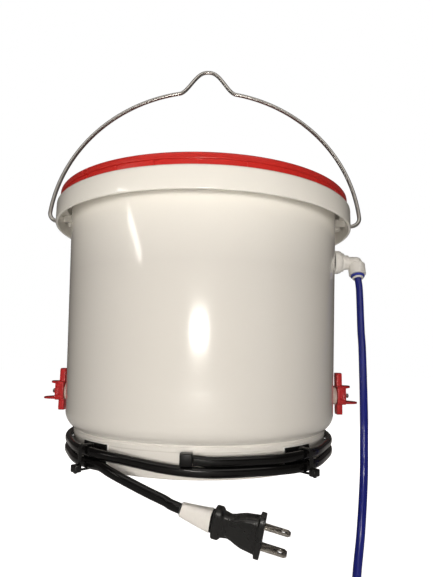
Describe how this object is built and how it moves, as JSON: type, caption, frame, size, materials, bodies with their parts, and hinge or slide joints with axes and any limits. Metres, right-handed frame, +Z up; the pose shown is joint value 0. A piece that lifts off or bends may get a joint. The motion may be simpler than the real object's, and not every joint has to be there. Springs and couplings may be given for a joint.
{
  "type": "heated poultry waterer",
  "caption": "Round pail with a heated base, press-on lid, wire bail, side-mount drinkers with trigger pins, a float valve fed by an elbow and tube, and a wound supply cord with plug.",
  "frame": {"origin": "underside of the bail's hump, where a hook holds the hanging waterer", "axes": "+Z up, +Y from the front to the back, +X towards the side that the water tube comes in at"},
  "size_m": [0.3047, 0.2775, 0.5829],
  "materials": {
    "white_pail": "smooth moulded polyethylene, slightly glossy",
    "red_lid": "smooth moulded plastic",
    "red_drinker": "moulded plastic",
    "black_rubber": "matt rubber",
    "pale_rubber": "soft pale rubber",
    "bail_steel": "bright drawn wire",
    "stainless_pin": "bright stainless steel",
    "white_fitting": "smooth acetal",
    "blue_clip": "moulded plastic",
    "blue_tube": "smooth extruded tube",
    "black_nylon": "moulded nylon",
    "black_cord": "smooth flexible jacket",
    "white_paper": "bare paper wrap",
    "nickel_blade": "nickel plated brass",
    "white_foam": "closed-cell foam",
    "heater_aluminium": "rolled sheet",
    "heater_silicone": "silicone heating mat"
  },
  "bodies": {
    "pail": {"bucket": "white_pail", "nipple_body_left": "red_drinker", "nipple_body_right": "red_drinker", "nipple_gasket_left": "pale_rubber", "nipple_gasket_right": "pale_rubber", "nipple_nut_left": "red_drinker", "nipple_nut_right": "red_drinker", "nipple_seal_left": "black_rubber", "nipple_seal_right": "black_rubber", "fill_bulkhead": "white_fitting", "fill_gasket": "black_rubber", "fill_nut": "white_fitting", "fill_elbow": "white_fitting", "elbow_collet": "white_fitting", "float_valve": "white_fitting", "float_pin": "stainless_pin", "supply_tube": "blue_tube", "supply_tube_coil": "blue_tube", "coil_tie_1": "black_nylon", "coil_tie_2": "black_nylon", "cord_outlet": "black_nylon", "power_cord_winding": "black_cord", "power_cord_lead": "black_cord", "plug_relief": "black_cord", "plug_label": "white_paper", "plug_body": "black_cord", "plug_blade_wide": "nickel_blade", "plug_blade_narrow": "nickel_blade", "tie_mount_left": "black_nylon", "tie_mount_right": "black_nylon", "foam_pad_left": "white_foam", "foam_pad_right": "white_foam", "cable_tie_left": "black_nylon", "cable_tie_right": "black_nylon", "bottom_cover": "black_nylon", "cover_screw_1": "stainless_pin", "cover_screw_2": "stainless_pin", "cover_screw_3": "stainless_pin", "cover_screw_4": "stainless_pin", "heater_plate": "heater_aluminium", "heater_element": "heater_silicone", "thermostat": "black_nylon", "insulation_pad": "white_foam", "heater_lead": "black_cord"},
    "lid": {"lid": "red_lid", "lid_gasket": "black_rubber"},
    "bail": {"bail_wire": "bail_steel"},
    "pin_left": {"nipple_pin_left": "stainless_pin"},
    "pin_right": {"nipple_pin_right": "stainless_pin"},
    "float": {"float_arm": "white_fitting", "float_ball": "white_fitting"},
    "clip": {"elbow_clip": "blue_clip"}
  },
  "joints": [
    {"name": "bail_swing", "type": "hinge", "parent": "pail", "child": "bail", "pos_m": [0, -0.02395, -0.17042], "axis": [1, 0, 0], "range_deg": [-117, 133]},
    {"name": "lid_lift", "type": "slide", "parent": "pail", "child": "lid", "axis": [0, 0, 1], "range_m": [0, 0.024]},
    {"name": "pin_left_tilt", "type": "hinge", "parent": "pail", "child": "pin_left", "pos_m": [-0.11563, -0.02395, -0.33013], "axis": [0, 1, 0], "range_deg": [-3.5, 3.5], "stiffness_Nm_per_rad": 0.02},
    {"name": "pin_right_tilt", "type": "hinge", "parent": "pail", "child": "pin_right", "pos_m": [0.11563, -0.02395, -0.33013], "axis": [0, 1, 0], "range_deg": [-3.5, 3.5], "stiffness_Nm_per_rad": 0.02},
    {"name": "float_swing", "type": "hinge", "parent": "pail", "child": "float", "pos_m": [0.08253, -0.02395, -0.20592], "axis": [0, 1, 0], "range_deg": [0, 38]},
    {"name": "clip_pull", "type": "slide", "parent": "pail", "child": "clip", "axis": [0, -0.9563, 0.2924], "range_m": [0, 0.013]}
  ]
}
